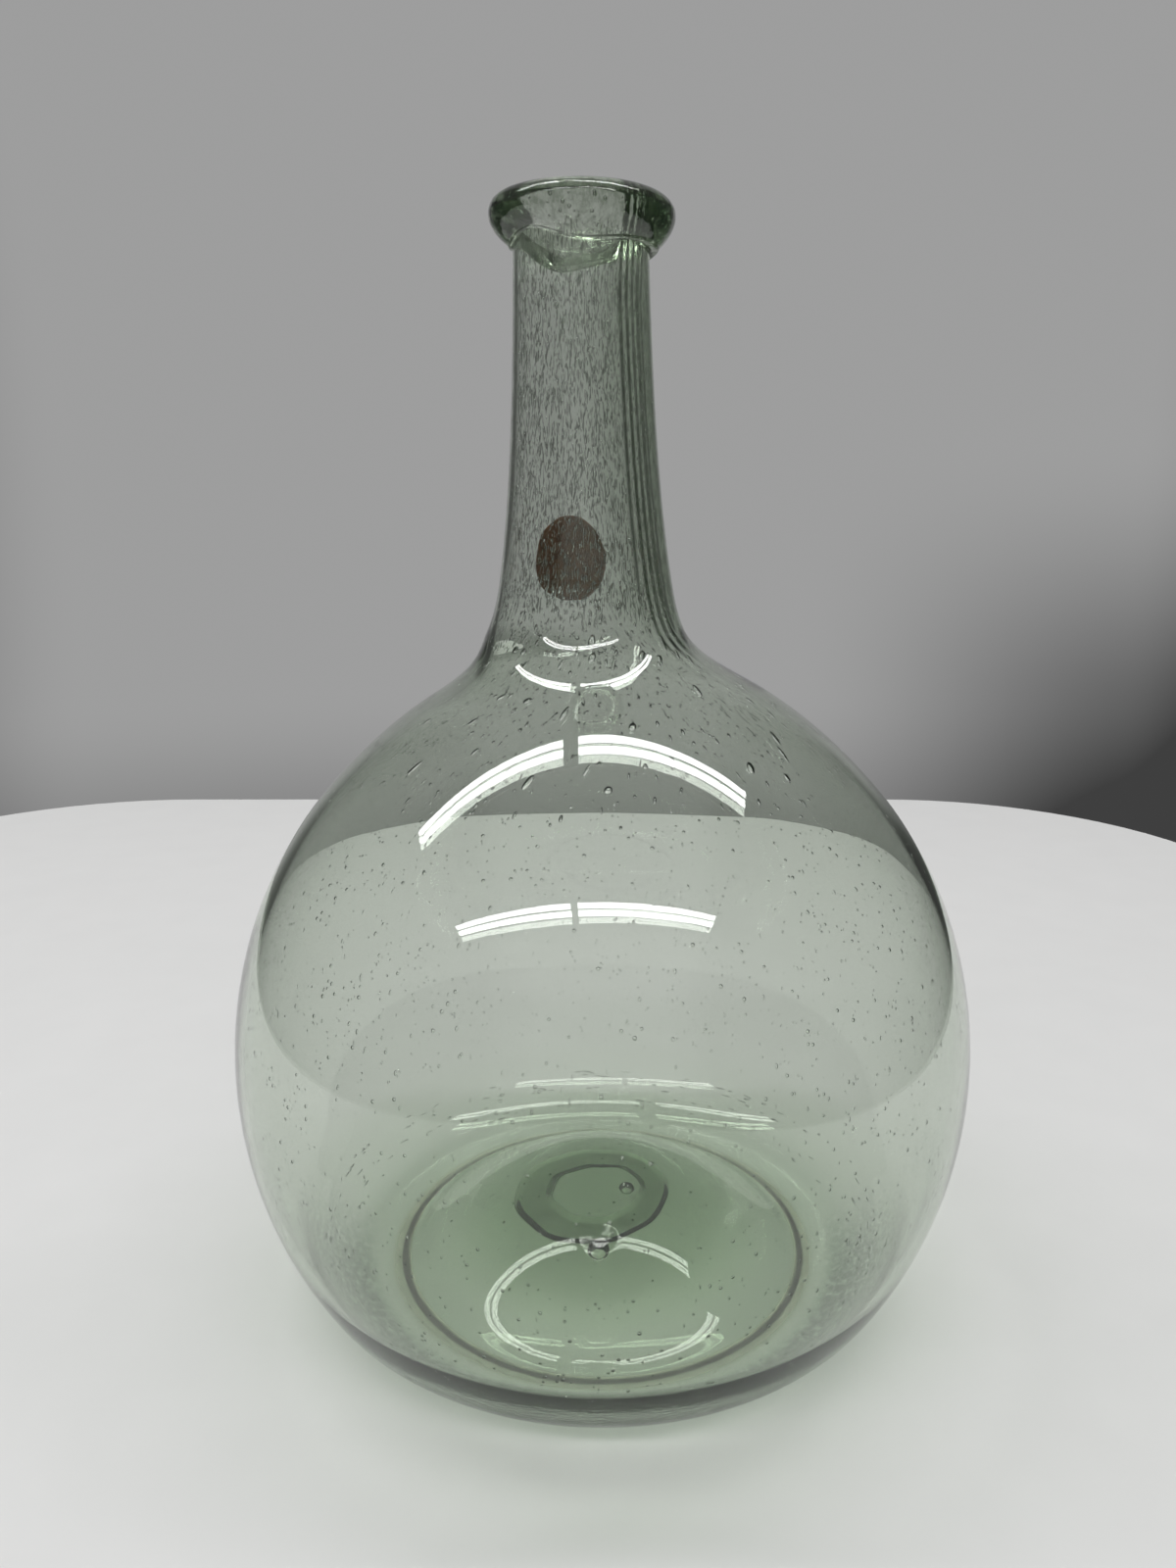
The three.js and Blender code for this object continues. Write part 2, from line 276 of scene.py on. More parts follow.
def outline_normals(outline):
    along = np.gradient(outline, axis=0)
    along /= np.linalg.norm(along, axis=1)[:, None]
    return np.stack([along[:, 1], -along[:, 0]], axis=-1)


def heel_arc(start, rim_height, steps):
    """The arc that turns a wall, from its lowest point, down to a level rim."""
    radius = (start[1] - rim_height) / (1 + heel_normal[1])
    centre = start - radius * heel_normal
    return arc(centre, radius, -90, math.degrees(math.atan2(heel_normal[1], heel_normal[0])), steps)


outside = outer_wall()
wall_normals = outline_normals(outside)
wall_normals[0] = heel_normal
inside = outside - wall_thickness(outside[:, 1])[:, None] * wall_normals
inside = inside[inside[:, 1] < mouth_height - RIM_ROUND]
heel_outside = heel_arc(outside[0], 0, 14)
heel_inside = heel_arc(inside[0], HEEL_THICKNESS, 12)
rest_radius = heel_outside[0, 0]
rest_inner = np.array([rest_radius - REST_WIDTH, 0])
underside = dome(KICK_HEIGHT, KICK_TOP_REACH, rest_inner, KICK_FOOT_REACH, 24)
hump_height = KICK_HEIGHT + BASE_THICKNESS
floor_outline = dome(hump_height, HUMP_TOP_REACH, heel_inside[0], HUMP_FOOT_REACH, 36)
outer_side = np.concatenate([heel_outside[:-1], outside])
outer_normals = outline_normals(outer_side)


def wall_radius_at(height):
    return np.interp(height, outer_side[:, 1], outer_side[:, 0])


def underside_at(radius):
    return np.interp(radius, underside[:, 0], underside[:, 1])


def floor_at(radius):
    return np.interp(radius, floor_outline[:, 0], floor_outline[:, 1])


def lean_at(height):
    """How far the wall stands off the globe's axis at a height."""
    high = neck_foot[1] - NECK_SHIFT_DROP
    shift = NECK_SHIFT * smoothstep(high - NECK_SHIFT_SPAN, high, height)
    return -shift - math.tan(math.radians(NECK_TILT)) * np.maximum(0, height - neck_foot[1])


def scar_ragged(bearing):
    waves = np.sin(2 * bearing + 1) + 0.5 * np.sin(3 * bearing) + 0.25 * np.sin(8 * bearing)
    return SCAR_RAGGED_EDGE * waves


def bare_of_scar(x, y):
    """How far a place under the base is outside the scar's ring, negative on the ring. The ring's
    drift depends on the place across it, which the loop closes in on."""
    inner = SCAR_RADIUS - SCAR_WIDTH
    inward = np.full(np.shape(x), 0.5)
    for _ in range(6):
        from_middle = x + SCAR_OFFSET - SCAR_DRIFT * inward
        radius = np.hypot(from_middle, y)
        inward = (SCAR_RADIUS - radius) / SCAR_WIDTH
    across = radius - scar_ragged(np.arctan2(y, from_middle)) - inner
    return np.maximum(-across, across - SCAR_WIDTH) + SCAR_FREE_EDGE


def lip_edge(bearing):
    """How far the lip's uneven lower edge hangs below its mean height at a bearing."""
    waves = ((1, 1.5, -2.6), (2, 1, 1.15), (3, 0.3, 1.3), (4, 0.65, -2.3), (5, 0.5, 0.7))
    return -LIP_WAVE * sum(share * np.sin(count * bearing + start) for count, share, start in waves)


def place_in_space(radius, bearing, height):
    x = radius * np.cos(bearing) + lean_at(height)
    return np.stack([x, radius * np.sin(bearing), height], axis=-1)


def make_piece(name, points, faces, material, touching=None, bare=None):
    """A smooth mesh from points and faces. touching marks the faces that lie on a neighbour, and bare
    is how far each point is outside the part of them that is fused to it."""
    mesh = bpy.data.meshes.new(name)
    mesh.from_pydata(points.tolist(), [], faces)
    mesh.materials.append(material)
    mesh.polygons.foreach_set("use_smooth", [True] * len(mesh.polygons))
    if touching is not None:
        mesh.attributes.new("touching", "FLOAT", "FACE").data.foreach_set("value", touching.astype(float))
        mesh.attributes.new("bare", "FLOAT", "POINT").data.foreach_set("value", bare)
    mesh.validate()
    piece = bpy.data.objects.new(name, mesh)
    bpy.context.scene.collection.objects.link(piece)
    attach(piece, "root")
    return piece


def turned_faces(rows, sides, closed):
    """Quads between rows of points turned about the axis, the last row joined to the first if closed."""
    row = np.arange(rows if closed else rows - 1)
    this, up = row * sides, (row + 1) % rows * sides
    side = np.arange(sides)
    beside = (side + 1) % sides
    corners = [this[:, None] + side, this[:, None] + beside, up[:, None] + beside, up[:, None] + side]
    return np.stack(corners, axis=-1).reshape(-1, 4)


def capped_faces(rows, sides):
    """Faces of turned rows of points, closed by two more points that come after them: one beyond the
    first row and one beyond the last."""
    side = np.arange(sides)
    beside = (side + 1) % sides
    count = rows * sides
    last = count - sides
    first_cap = np.stack([np.full(sides, count), beside, side], axis=-1)
    last_cap = np.stack([np.full(sides, count + 1), last + side, last + beside], axis=-1)
    return turned_faces(rows, sides, False).tolist() + first_cap.tolist() + last_cap.tolist()


def turned_grid(outline, sides):
    """Radius, bearing and height of an outline turned about the axis, each as a table of rows and sides."""
    bearing = np.broadcast_to(np.linspace(0, 2 * math.pi, sides, endpoint=False), (len(outline), sides))
    radius = np.broadcast_to(outline[:, :1], bearing.shape)
    height = np.broadcast_to(outline[:, 1:], bearing.shape)
    return radius.copy(), bearing.copy(), height.copy()


def noise_over(points, scale):
    """Smooth noise between -1 and 1 at each point, with features about scale metres apart."""
    flat = points.reshape(-1, 3) / scale
    return np.array([noise.noise(Vector(p)) for p in flat]).reshape(points.shape[:-1])


# Shader maths
class Wire:
    """A shader value. Sums made with it add Math nodes."""

    def __init__(self, paint, socket):
        self.paint = paint
        self.socket = socket

    def worked_out(self, operation, first, second):
        return self.paint.add("ShaderNodeMath", {"operation": operation}, {0: first, 1: second})

    def __add__(self, other):
        return self.worked_out("ADD", self, other)

    def __sub__(self, other):
        return self.worked_out("SUBTRACT", self, other)

    def __rsub__(self, other):
        return self.worked_out("SUBTRACT", other, self)

    def __mul__(self, other):
        return self.worked_out("MULTIPLY", self, other)

    def __lt__(self, other):
        return self.worked_out("LESS_THAN", self, other)

    def or_more(self, other):
        return self.worked_out("MAXIMUM", self, other)

    def bearing_from(self, other):
        return self.worked_out("ARCTAN2", self, other)

    def between(self, low, high):
        """0 below low and 1 above high, with a soft step between."""
        return self.paint.add("ShaderNodeMapRange", {"interpolation_type": "SMOOTHSTEP"},
                              {"Value": self, "From Min": low, "From Max": high})

    __radd__ = __add__
    __rmul__ = __mul__


class Paint:
    """The node tree of a material or a world."""

    def __init__(self, owner):
        owner.use_nodes = True
        self.tree = owner.node_tree
        self.tree.nodes.clear()

    def add(self, kind, settings=None, values=None, output=0):
        """A new node's output. The settings are set first, then the values or links of its sockets."""
        node = self.tree.nodes.new(kind)
        for name, value in (settings or {}).items():
            setattr(node, name, value)
        for name, value in (values or {}).items():
            if isinstance(value, Wire):
                self.tree.links.new(value.socket, node.inputs[name])
            else:
                node.inputs[name].default_value = value
        return Wire(self, node.outputs[output])

    def position(self):
        return self.add("ShaderNodeTexCoord", output="Object")

    def place(self):
        """X, Y and Z of the place that is shaded."""
        values = {"Vector": self.position()}
        return [self.add("ShaderNodeSeparateXYZ", {}, values, output=axis) for axis in "XYZ"]

    def noise(self, scale, detail=2.0, stretch=None, roughness=0.5, where=None):
        where = where or self.position()
        if stretch:
            where = self.add("ShaderNodeMapping", {}, {"Vector": where, "Scale": stretch})
        values = {"Vector": where, "Scale": scale, "Detail": detail, "Roughness": roughness}
        return self.add("ShaderNodeTexNoise", {}, values)

    def mix_colour(self, share, first, second):
        return self.add("ShaderNodeMix", {"data_type": "RGBA"}, {0: share, 6: first, 7: second}, output=2)

    def bump(self, height, depth, strength):
        values = {"Height": height, "Distance": depth, "Strength": strength}
        return self.add("ShaderNodeBump", {}, values, output="Normal")


# Glass
ABSORPTION_DENSITY = 113
LIP_DENSITY = 70
SCAR_DENSITY = 900
ABSORPTION_COLOUR = (0.435, 0.556, 0.387, 1)
GLASS_BENDING = 1.5
SEED_BENDING = 1.27
CLEAR = (1, 1, 1, 1)

# How much paler the glass is in the light that falls through it than to the eye, and how much of
# that light the wall and the base stop
SHADOW_PALENESS = 0.3
GLASS_SHADE = 0.05
BASE_SHADE = 0.8
BASE_SHADE_TOP = 0.03

# Wear under the resting ring, and marks on the outside of the heel at the front, scuffed and darkened with
# painted shade along the heel's foot
WORN_HEIGHTS = (0.00003, 0.0003)
WORN_ROUGHNESS = 0.3
WORN_TINT = (0.8, 0.77, 0.7, 1)
HEEL_MARKS_SCALE = 1100
HEEL_MARKS_RADII = (0.062, 0.068)
HEEL_MARKS_HEIGHTS = (0.012, 0.026)
HEEL_MARKS_FRONT = (-0.02, 0.03)
HEEL_MARKS_WRAP = 0.025
HEEL_MARKS_DEPTH = 0.00006
# Tint of the heel's scuffed marks, which also paints the shade along the heel's foot
SCUFF_AND_SHADE_TINT = (0.6, 0.62, 0.6, 1)

# Ripples of the lip and the dust in it
RIPPLE_SCALE = 420
RIPPLE_DEPTH = 0.0004
RIPPLE_STRENGTH = 0.4
DUST_SCALE = 600
DUST_TINTS = ((0.4, 0.45, 0.37, 1), (0.85, 0.88, 0.82, 1))

# Paper of the sticker, stained between two browns, with paler fibres
STAIN_SCALE = 300
PAPER_COLOURS = ((0.07, 0.02, 0.007, 1), (0.15, 0.048, 0.02, 1))
FIBRE_SCALE = 900
FIBRE_COLOUR = (0.18, 0.08, 0.04, 1)


def worn_and_shaded_foot(paint):
    """The worn ring that the bottle stands on, and the marks on its heel, scuffed and darkened with painted
    shade along the heel's foot at the front.
    """
    x, y, height = paint.place()
    worn = 1 - height.between(*WORN_HEIGHTS)
    tint = paint.mix_colour(worn, CLEAR, WORN_TINT)
    round_heel = {"X": y.bearing_from(x) * HEEL_MARKS_WRAP, "Y": height}
    round_heel = paint.add("ShaderNodeCombineXYZ", {}, round_heel)
    inner, outer = HEEL_MARKS_RADII
    on_heel = (x * x + y * y).between(inner**2, outer**2) * (1 - height.between(*HEEL_MARKS_HEIGHTS))
    on_heel = on_heel * (0 - y).between(*HEEL_MARKS_FRONT)
    marks = paint.noise(HEEL_MARKS_SCALE, 3, roughness=0.6, where=round_heel)
    # The heel is darkened where the marks are deep: scuffing, and painted shade of the dark band along the
    # heel's foot
    scuffed_and_shaded = on_heel * marks.between(0.3, 0.55)
    return {
        "Roughness": worn * WORN_ROUGHNESS,
        "Normal": paint.bump(marks * on_heel, HEEL_MARKS_DEPTH, 1),
        "Base Color": paint.mix_colour(scuffed_and_shaded, tint, SCUFF_AND_SHADE_TINT),
    }


def rippled(paint):
    """Ripples that the tool left on the lip, and the fine dust in its glass."""
    ripples = paint.noise(RIPPLE_SCALE, 3, stretch=(1, 1, 0.3), roughness=0.6)
    dust = paint.noise(DUST_SCALE, 3, stretch=(1, 1, 0.5), roughness=0.7)
    return {
        "Base Color": paint.mix_colour(dust.between(0.35, 0.65), *DUST_TINTS),
        "Normal": paint.bump(ripples, RIPPLE_DEPTH, RIPPLE_STRENGTH),
    }


def glass(name, bending=GLASS_BENDING, roughness=0.0, finish=None, shaded_base=False,
          density=ABSORPTION_DENSITY):
    """Green glass that lets the lamps through and shows no face where it is fused to its neighbour.
    finish(paint) makes the shader values that vary over the piece."""
    material = bpy.data.materials.new(name)
    paint = Paint(material)
    shadow, diffuse = (paint.add("ShaderNodeLightPath", output=out)
                       for out in ("Is Shadow Ray", "Is Diffuse Ray"))
    touching, bare = (paint.add("ShaderNodeAttribute", {"attribute_name": label}, output="Fac")
                      for label in ("touching", "bare"))
    fused = touching * (bare < 0)
    to_light = shadow.or_more(diffuse)
    shade = GLASS_SHADE
    if shaded_base:
        low = 1 - paint.place()[2].between(0, BASE_SHADE_TOP)
        shade = low * (BASE_SHADE - GLASS_SHADE) + GLASS_SHADE
    see_through = (to_light * (1 - shade)).or_more(fused)
    values = {"Base Color": CLEAR, "Transmission Weight": 1, "IOR": bending, "Roughness": roughness}
    if finish:
        values.update(finish(paint))
    solid = paint.add("ShaderNodeBsdfPrincipled", {}, values)
    clear = paint.add("ShaderNodeBsdfTransparent", {}, {"Color": CLEAR})
    surface = paint.add("ShaderNodeMixShader", {}, {0: see_through, 1: solid, 2: clear})
    outlet = paint.tree.nodes.new("ShaderNodeOutputMaterial")
    paint.tree.links.new(surface.socket, outlet.inputs["Surface"])
    if density:
        values = {"Color": ABSORPTION_COLOUR, "Density": density}
        depth = paint.add("ShaderNodeVolumeAbsorption", {}, values)
        depth = paint.add("ShaderNodeMixShader", {}, {0: to_light * SHADOW_PALENESS, 1: depth})
        paint.tree.links.new(depth.socket, outlet.inputs["Volume"])
    return material


def plain_surface(name, values_from):
    """An opaque material whose shader values are made by values_from(paint)."""
    material = bpy.data.materials.new(name)
    paint = Paint(material)
    shader = paint.add("ShaderNodeBsdfPrincipled", {}, values_from(paint))
    outlet = paint.tree.nodes.new("ShaderNodeOutputMaterial")
    paint.tree.links.new(shader.socket, outlet.inputs["Surface"])
    return material


def aged_paper():
    def values(paint):
        fibre = paint.noise(FIBRE_SCALE, 4, roughness=0.7)
        stain = paint.noise(STAIN_SCALE, 4, roughness=0.6)
        colour = paint.mix_colour(stain.between(0.3, 0.7), *PAPER_COLOURS)
        colour = paint.mix_colour(fibre.between(0.45, 0.75), colour, FIBRE_COLOUR)
        return {"Base Color": colour, "Roughness": 0.9, "Normal": paint.bump(fibre, 0.0002, 0.6)}
    return plain_surface("aged_paper", values)


def bottle_body(material):
    rim_rounding = arc(crest - (0, RIM_ROUND), RIM_ROUND, 90, 180, 12)
    rim_top = mouth_top[(mouth_top[:, 0] < NECK_TOP_RADIUS) & (mouth_top[:, 0] > crest[0])]
    parts = [underside, heel_outside[:-1], outside, rim_top, rim_rounding,
             inside[::-1], heel_inside[1:-1][::-1], floor_outline[::-1]]
    outline = np.concatenate(parts)
    starts = np.cumsum([0] + [len(part) for part in parts])
    heel_start, outside_start, outside_end = starts[1:4] - 1
    radius, bearing, height = turned_grid(outline[1:-1], SIDES)
    wall_rows = slice(starts[5] - 1, starts[6] - 1)
    flat = np.stack([radius * np.cos(bearing), radius * np.sin(bearing), height], axis=-1)
    slow = noise_over(flat[wall_rows] * (1, 1, 0.5), SLOW_WAVE_SPAN)
    cords = noise_over(flat[wall_rows] * (1, 1, 0.03) + 0.3, CORD_SPAN)
    cords_start, cords_full = neck_foot[1] - CORDS_START_BELOW_FOOT, neck_foot[1] + CORDS_FULL_ABOVE_FOOT
    in_neck = smoothstep(cords_start, cords_full, height[wall_rows])
    folds = sum(depth * np.exp(-((bearing[wall_rows] - math.radians(place)) / NECK_FOLD_SPREAD) ** 2)
                for place, depth in NECK_FOLDS)
    radius[wall_rows] += SLOW_WAVE_DEPTH * slow + (CORD_DEPTH * cords - folds) * in_neck
    points = place_in_space(radius, bearing, height)
    depth = np.clip((wall_radius_at(height) - radius) / wall_thickness(height), 0, 1)
    points[..., 0] -= bore_shift_at(height) * depth
    points = points.reshape(-1, 3)
    faces = capped_faces(len(outline) - 2, SIDES)
    row_of_face = np.arange(len(faces)) // SIDES
    on_underside = row_of_face < heel_start
    on_outside = (row_of_face >= outside_start) & (row_of_face < outside_end)
    x, y, z = points.T
    lip_start = lip_foot - lip_edge(np.arctan2(y, x - lean_at(z))) + LIP_FOOT_THICKNESS / 2
    bare = np.where(z > neck_foot[1], lip_start - z, bare_of_scar(x, y))
    bare = np.concatenate([bare, [1, 1]])
    on_axis = [[0, 0, outline[0, 1]], [0, 0, outline[-1, 1]]]
    points = np.concatenate([points, on_axis])
    piece = make_piece("bottle_body_glass", points, faces, material, on_underside | on_outside, bare)
    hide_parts("bottle_body")
    return piece


def applied_lip(material):
    foot_round = LIP_FOOT_THICKNESS / 2

    def bore(height):
        return wall_radius_at(height) + FUSED_GAP

    foot_middle = np.array([bore(lip_foot) + foot_round, lip_foot + foot_round])
    foot_outside = foot_middle + (foot_round, 0)
    skirt = sweep(foot_outside, foot_outside + (LIP_SKIRT_BULGE / 2, LIP_SKIRT_BULGE / 2),
                  lip_crease - (0, LIP_SKIRT_BULGE), lip_crease, 24)
    bore_height = np.linspace(mouth_top_at(NECK_TOP_RADIUS), lip_foot + foot_round, 20)
    bore_side = np.stack([bore(bore_height), bore_height], axis=-1)
    top = mouth_top[mouth_top[:, 0] > NECK_TOP_RADIUS + 2 * FUSED_GAP]
    outline = np.concatenate([bore_side, arc(foot_middle, foot_round, 180, 360, 10)[1:], skirt[1:-1], top])
    radius, bearing, height = turned_grid(outline, SIDES)
    drop = np.clip((lip_crease[1] - height) / LIP_SKIRT, 0, 1)
    proud = smoothstep(foot_middle[0] - foot_round, foot_outside[0], radius)
    above = smoothstep(lip_crease[1], mouth_height, height)
    radius += LIP_SWELL * proud * np.cos(bearing) * LIP_SWELL_SHARE * (1 - above + drop)
    height -= drop * lip_edge(bearing)
    row = np.arange(len(outline))[:, None]
    on_bore = row < len(bore_side)
    radius = np.where(on_bore, bore(height), radius)
    points = place_in_space(radius, bearing, height)
    winding = 0.5 + 0.5 * noise_over(points * (0.25, 0.25, 1), LIP_WINDING_SPAN)
    radius = np.where(on_bore, radius, radius - LIP_WINDING_DEPTH * proud * winding)
    points = place_in_space(radius, bearing, height).reshape(-1, 3)
    faces = turned_faces(len(outline), SIDES, True)
    row_of_face = np.arange(len(faces)) // SIDES
    touching = (row_of_face < len(bore_side) - 1) | (row_of_face == len(outline) - 1)
    bare = np.full(len(points), -1.0)
    piece = make_piece("applied_lip_glass", points, faces.tolist(), material, touching, bare)
    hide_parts("applied_lip")
    return piece


def pontil_scar(material):
    inner = SCAR_RADIUS - SCAR_WIDTH
    bevel = SCAR_BEVEL / SCAR_WIDTH
    top = np.linspace(1, 0, SCAR_TOP_STEPS + 1)
    across = np.concatenate([top, np.linspace(0, 1, SCAR_FACE_STEPS + 1)[1:]])
    from_edge = np.minimum(across, 1 - across)
    down = np.where(np.arange(len(across)) < len(top), 0, smoothstep(0, bevel, from_edge))
    section = np.stack([inner + across * SCAR_WIDTH, -down * SCAR_DEPTH], axis=-1)
    radius, bearing, height = turned_grid(section[:-1], SCAR_SIDES)
    radius += scar_ragged(bearing)
    outward = (radius - inner) / SCAR_WIDTH
    x = radius * np.cos(bearing) - SCAR_OFFSET + SCAR_DRIFT * (1 - outward)
    y = radius * np.sin(bearing)
    broken = noise_over(np.stack([x, y, height], axis=-1), SCAR_BROKEN_SPAN)
    depth = height * (1 - SCAR_BROKEN_SHARE * (1 - broken))
    z = depth + underside_at(np.hypot(x, y)) - FUSED_GAP
    points = np.stack([x, y, z], axis=-1).reshape(-1, 3)
    faces = turned_faces(len(section) - 1, SCAR_SIDES, True)
    touching = np.arange(len(faces)) // SCAR_SIDES < SCAR_TOP_STEPS
    bare = bare_of_scar(points[:, 0], points[:, 1])
    piece = make_piece("pontil_scar_glass", points, faces.tolist(), material, touching, bare)
    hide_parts("pontil_scar")
    return piece


def neck_sticker(material):
    rings = np.linspace(0, 1, STICKER_RINGS + 1)[1:]
    middle = neck_foot[1] + STICKER_ABOVE_FOOT
    wrap_radius = wall_radius_at(middle)
    turn = np.linspace(0, 2 * math.pi, STICKER_SIDES, endpoint=False)
    rows = np.concatenate([rings, rings[::-1]])
    outer = np.repeat([0, 1], STICKER_RINGS)
    across = rows[:, None] * np.cos(turn)
    along = rows[:, None] * np.sin(turn)
    frayed = 1 - STICKER_FRAYING * (0.5 + 0.5 * np.sin(7 * turn) * np.sin(3 * turn + 1))
    across, along = across * frayed, along * frayed

    def wrap(across, along, lift):
        height = middle + along * STICKER_HEIGHT / 2
        bearing = math.pi / 2 + across * STICKER_WIDTH / 2 / wrap_radius + math.radians(STICKER_TURN)
        radius = wall_radius_at(height) + FUSED_GAP * 3 + lift
        return place_in_space(radius, bearing, height)

    points = wrap(across, along, outer[:, None] * STICKER_THICKNESS).reshape(-1, 3)
    centres = np.stack([wrap(np.zeros(1), np.zeros(1), lift)[0] for lift in (0, STICKER_THICKNESS)])
    faces = capped_faces(len(rows), STICKER_SIDES)
    piece = make_piece("neck_sticker_paper", np.concatenate([points, centres]), faces, material)
    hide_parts("neck_sticker")
    return piece


# Seeds, the air bubbles in the glass
def seed_shape(sides, rings):
    """Points and faces of a unit ball with its long axis along the third axis and its faces turned in."""
    tilt = np.linspace(0, math.pi, rings + 2)[1:-1]
    turn = np.linspace(0, 2 * math.pi, sides, endpoint=False)
    ring = np.stack([np.outer(np.sin(tilt), np.cos(turn)), np.outer(np.sin(tilt), np.sin(turn)),
                     np.outer(np.cos(tilt), np.ones(sides))], axis=-1).reshape(-1, 3)
    return np.concatenate([ring, [[0, 0, 1], [0, 0, -1]]]), capped_faces(rings, sides)


def make_seeds(name, centres, frames, sizes, sides, rings, air):
    """One piece of seeds. frames hold each seed's axes as columns, sizes their half lengths along them."""
    shape, shape_faces = seed_shape(sides, rings)
    points = centres[:, None] + np.einsum("nij,nkj->nki", frames, shape[None] * sizes[:, None])
    starts = range(0, len(centres) * len(shape), len(shape))
    faces = [[start + corner for corner in face] for start in starts for face in shape_faces]
    piece = make_piece(name, points.reshape(-1, 3), faces, air)


def drawn_between(draws, span, count):
    """Sizes between two limits, small ones more often."""
    return span[0] * (span[1] / span[0]) ** draws.random(count)


def wall_seeds(name, draws, count, heights, width, length, air, slant=0.0, sides=6, rings=4,
               flatness=1.0):
    """Seeds between the two faces of the wall, drawn out along it and pressed flat by it."""
    height = lerp(heights[0], heights[1], draws.random(count))
    bearing = draws.random(count) * 2 * math.pi
    thickness = wall_thickness(height) + bore_shift_at(height) * np.cos(bearing)
    normal = np.stack([np.interp(height, outer_side[:, 1], outer_normals[:, i]) for i in (0, 1)], axis=-1)
    half_width = drawn_between(draws, width, count) / 2
    half_length = np.maximum(half_width, drawn_between(draws, length, count) / 2)
    half_depth = np.minimum(flatness * half_width, SEED_DEPTH_IN_WALL * thickness)
    least_inset = half_depth * SEED_INSET
    inset = lerp(least_inset, thickness - least_inset, draws.random(count))
    radius = wall_radius_at(height) - inset * normal[:, 0]
    centres = place_in_space(radius, bearing, height - inset * normal[:, 1])
    cosine, sine = np.cos(bearing), np.sin(bearing)
    outward = np.stack([normal[:, 0] * cosine, normal[:, 0] * sine, normal[:, 1]], axis=-1)
    around = np.stack([-sine, cosine, np.zeros(count)], axis=-1)
    along = np.cross(outward, around)
    tilt = slant + SEED_TILT * draws.standard_normal(count)
    long_axis = along * np.cos(tilt)[:, None] + around * np.sin(tilt)[:, None]
    frames = np.stack([outward, np.cross(long_axis, outward), long_axis], axis=-1)
    sizes = np.stack([half_depth, half_width, half_length], axis=-1)
    make_seeds(name, centres, frames, sizes, sides, rings, air)


def round_seeds(name, centres, half_sizes, sides, rings, air):
    frames = np.broadcast_to(np.eye(3), (len(centres), 3, 3))
    sizes = np.broadcast_to(half_sizes[:, None], (len(centres), 3))
    make_seeds(name, centres, frames, sizes, sides, rings, air)


def base_seeds(draws, air):
    half = drawn_between(draws, BASE_SEED_WIDTH, BASE_SEEDS) / 2
    radius = (HEEL_RADIUS + rest_radius) / 2 * np.sqrt(draws.random(BASE_SEEDS))
    bearing = draws.random(BASE_SEEDS) * 2 * math.pi
    height = lerp(underside_at(radius) + 2 * half, floor_at(radius) - 2 * half, draws.random(BASE_SEEDS))
    centres = np.stack([radius * np.cos(bearing), radius * np.sin(bearing), height], axis=-1)
    round_seeds("base_seeds", centres, half, 10, 7, air)
    x, y, bubble_radius = np.array(BASE_BUBBLES).T
    bubble_centres = np.stack([x, y, floor_at(np.hypot(x, y)) - 1.25 * bubble_radius], axis=-1)
    round_seeds("base_bubbles", bubble_centres, bubble_radius, 32, 20, air)


def lip_seeds(draws, air):
    half = drawn_between(draws, LIP_SEED_WIDTH, LIP_SEEDS) / 2
    lowest, highest = lip_foot + LIP_SEEDS_ABOVE_FOOT, mouth_height - LIP_SEEDS_BELOW_TOP
    height = lerp(lowest, highest, draws.random(LIP_SEEDS))
    bearing = draws.random(LIP_SEEDS) * 2 * math.pi
    share = (lip_crease[1] - height) / LIP_SKIRT
    on_skirt = LIP_RADIUS - LIP_SEEDS_DRAW_IN * np.maximum(share, 0) ** 1.3
    outer = np.where(share > 0, on_skirt, np.interp(height, mouth_top[:, 1], mouth_top[:, 0]))
    radius = lerp(wall_radius_at(height) + 2 * half, outer - 3 * half, draws.random(LIP_SEEDS))
    centres = place_in_space(radius, bearing, height)
    round_seeds("lip_seeds", centres, half, 10, 7, air)


# Studio
CAMERA_PLACE = (0, -0.2994, 0.2087)
CAMERA_PITCH = 13.37
CAMERA_LENS = 27.05
PHOTO_SIZE = (1200, 1600)
AXIS_IN_PHOTO = 614.8

LAMP_HEIGHT = 2.0
TUBE_WIDTH = 0.09
TUBE_BRIGHTNESS = 18
ROOM_BRIGHTNESS = 0.17
NEAR_ROWS = (0.143, 0.268)
NEAR_TUBES = ((-2.08, -0.35), (-0.215, 1.46))
FAR_ROWS = (-1.47, -1.59)
FAR_TUBES = ((-2.13, -0.372), (-0.289, 1.485))

TABLE_BACK = 0.53
TABLE_FRONT = -1.1
TABLE_SIDES = (-0.467, 0.374)
TABLE_CORNER = 0.171

# Grey of the backdrop, how much darker it is at the sides, and how much painted shade darkens it low at the
# right and below, where it meets the table's far edge
BACKDROP_TONE = 0.34
FAR_RIGHT_DARKER = 0.24
FAR_LEFT_DARKER = 0.26
PAINTED_SHADE_LOW_RIGHT = 0.26
PAINTED_SHADE_BELOW = 0.14
DARKEST_TONE = 0.05


def photo_camera():
    camera = bpy.data.cameras.new("photo_camera")
    camera.lens = CAMERA_LENS
    camera.sensor_width = 36
    camera.shift_x = (PHOTO_SIZE[0] / 2 - AXIS_IN_PHOTO) / PHOTO_SIZE[1]
    camera.clip_start = 0.01
    stand = bpy.data.objects.new("photo_camera", camera)
    stand.location = CAMERA_PLACE
    stand.rotation_euler = (math.radians(90 - CAMERA_PITCH), 0, 0)
    bpy.context.scene.collection.objects.link(stand)
    bpy.context.scene.camera = stand


